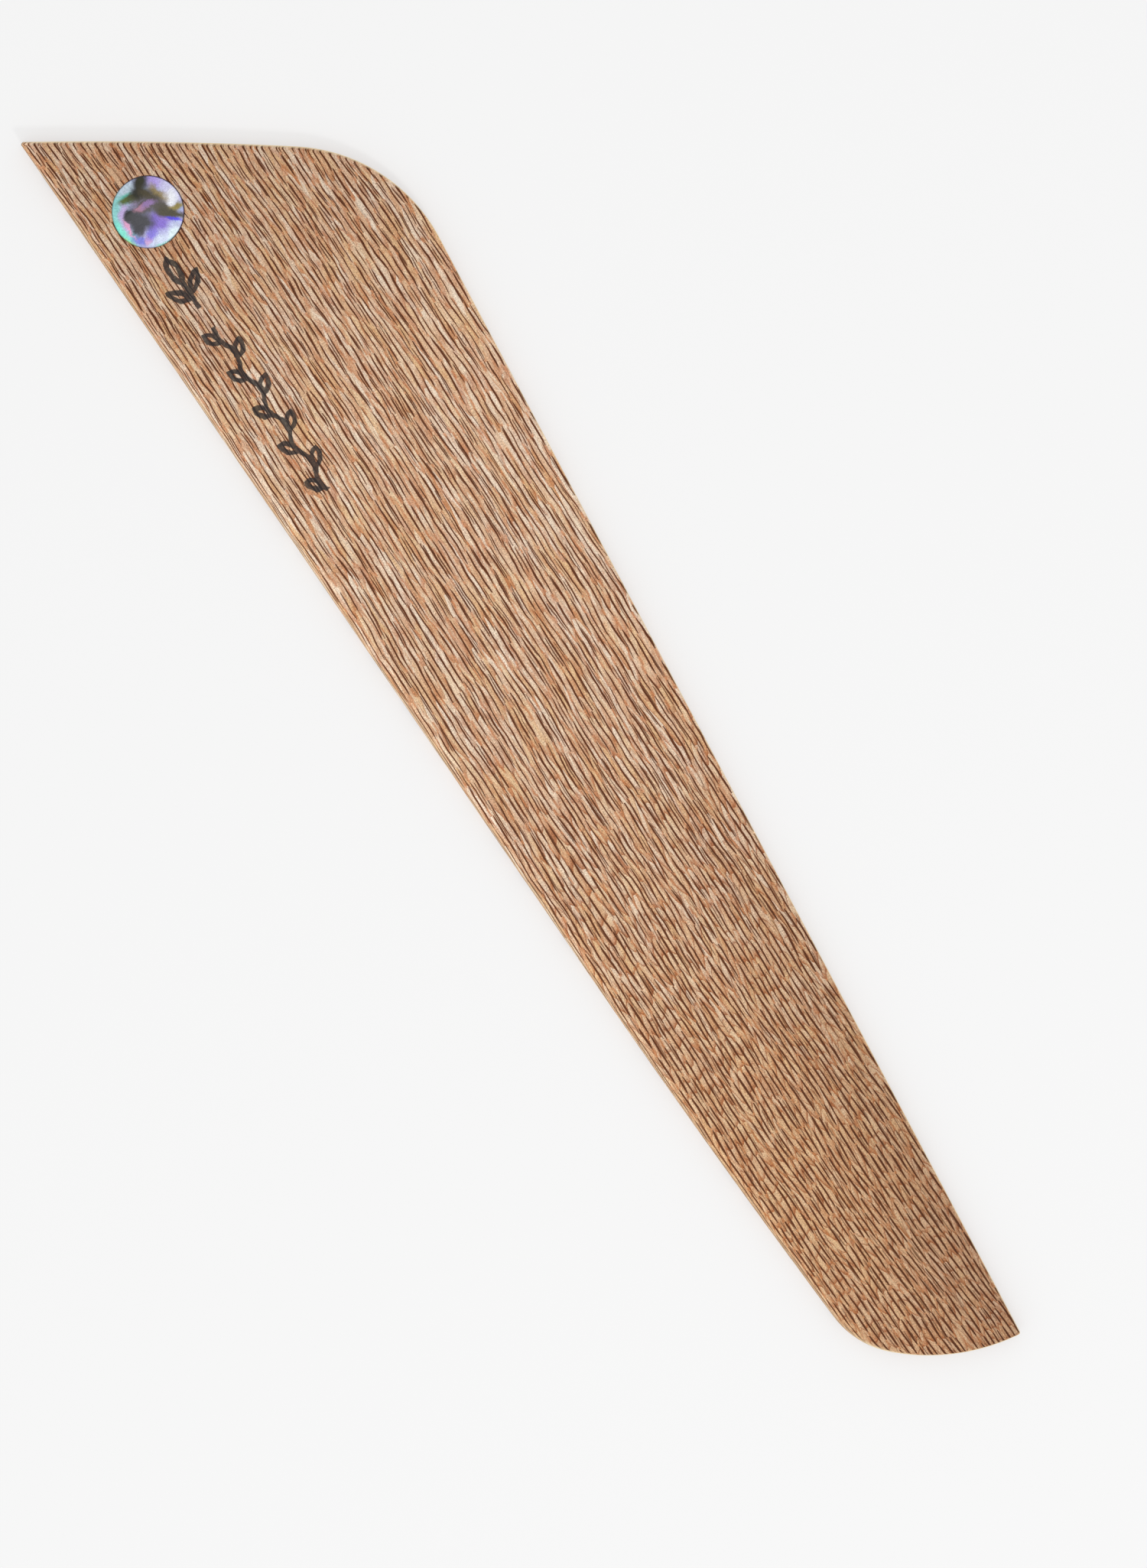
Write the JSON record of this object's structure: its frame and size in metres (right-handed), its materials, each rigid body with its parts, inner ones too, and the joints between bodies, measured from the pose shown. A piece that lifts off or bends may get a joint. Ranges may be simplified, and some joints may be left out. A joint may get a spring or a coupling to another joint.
{
  "type": "bone folder",
  "caption": "Flat wooden bone folder for creasing and slitting paper, with a slanted point, a rubbed working edge, a rounded heel and a round shell disc inlaid in its face.",
  "frame": {"origin": "middle of the blade's outline, on its flat underside", "axes": "+Y along the blade to its broad, pointed end; +X across it to the straight back edge; +Z out of the face that carries the disc"},
  "size_m": [0.0432, 0.2148, 0.0033],
  "materials": {
    "figured_wood": "satin oiled wood with a fine lace figure: pale pinkish-tan flecks between dark brown lines",
    "paua_shell": "polished iridescent shell: turquoise and green rim, violet-blue and mauve middle, dark olive blotches",
    "dark_adhesive": "dark cured adhesive, slightly glossy"
  },
  "bodies": {
    "root": {"blade": "figured_wood", "paua_disc": "paua_shell", "adhesive_bed": "dark_adhesive"}
  },
  "joints": []
}
